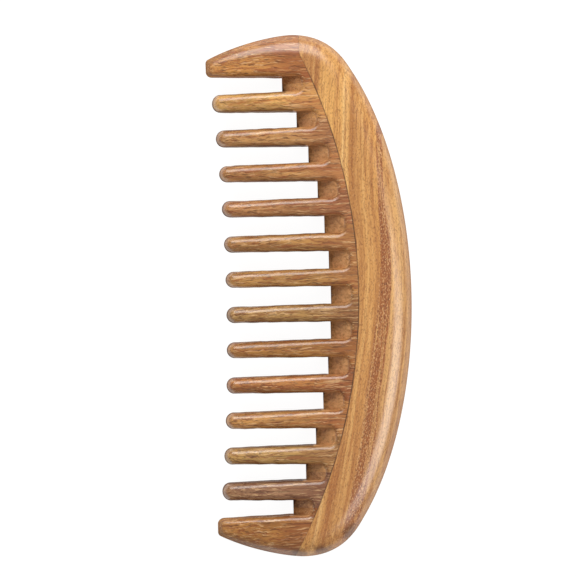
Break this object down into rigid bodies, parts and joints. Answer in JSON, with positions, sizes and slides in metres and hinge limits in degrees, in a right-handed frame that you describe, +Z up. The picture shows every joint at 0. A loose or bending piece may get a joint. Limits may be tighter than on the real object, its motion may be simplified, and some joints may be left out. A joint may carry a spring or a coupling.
{
  "type": "wide tooth comb",
  "caption": "Curved wooden wide tooth comb: a shaped back with separate tooth sticks tongued and glued into its groove, and a broad guard tooth at each end.",
  "frame": {"origin": "on the underside, below the middle of the comb's length and width, comb lying flat", "axes": "+X from the tooth tips towards the back, +Y along the comb, +Z up out of the flat face"},
  "size_m": [0.0575, 0.15, 0.012],
  "materials": {
    "back_wood": "golden brown figured wood, grain along the comb, sanded and oiled to a soft sheen",
    "tooth_wood": "mid brown figured wood, grain along each tooth, tone varies from tooth to tooth, soft sheen",
    "guard_wood": "mid brown figured wood with reddish streaks, grain along the guard tooth, soft sheen"
  },
  "bodies": {
    "root": {"back": "back_wood", "tooth_01": "tooth_wood", "tooth_02": "tooth_wood", "tooth_03": "tooth_wood", "tooth_04": "tooth_wood", "tooth_05": "tooth_wood", "tooth_06": "tooth_wood", "tooth_07": "tooth_wood", "tooth_08": "tooth_wood", "tooth_09": "tooth_wood", "tooth_10": "tooth_wood", "tooth_11": "tooth_wood", "tooth_12": "tooth_wood", "guard_tooth_left": "guard_wood", "guard_tooth_right": "guard_wood"}
  },
  "joints": []
}
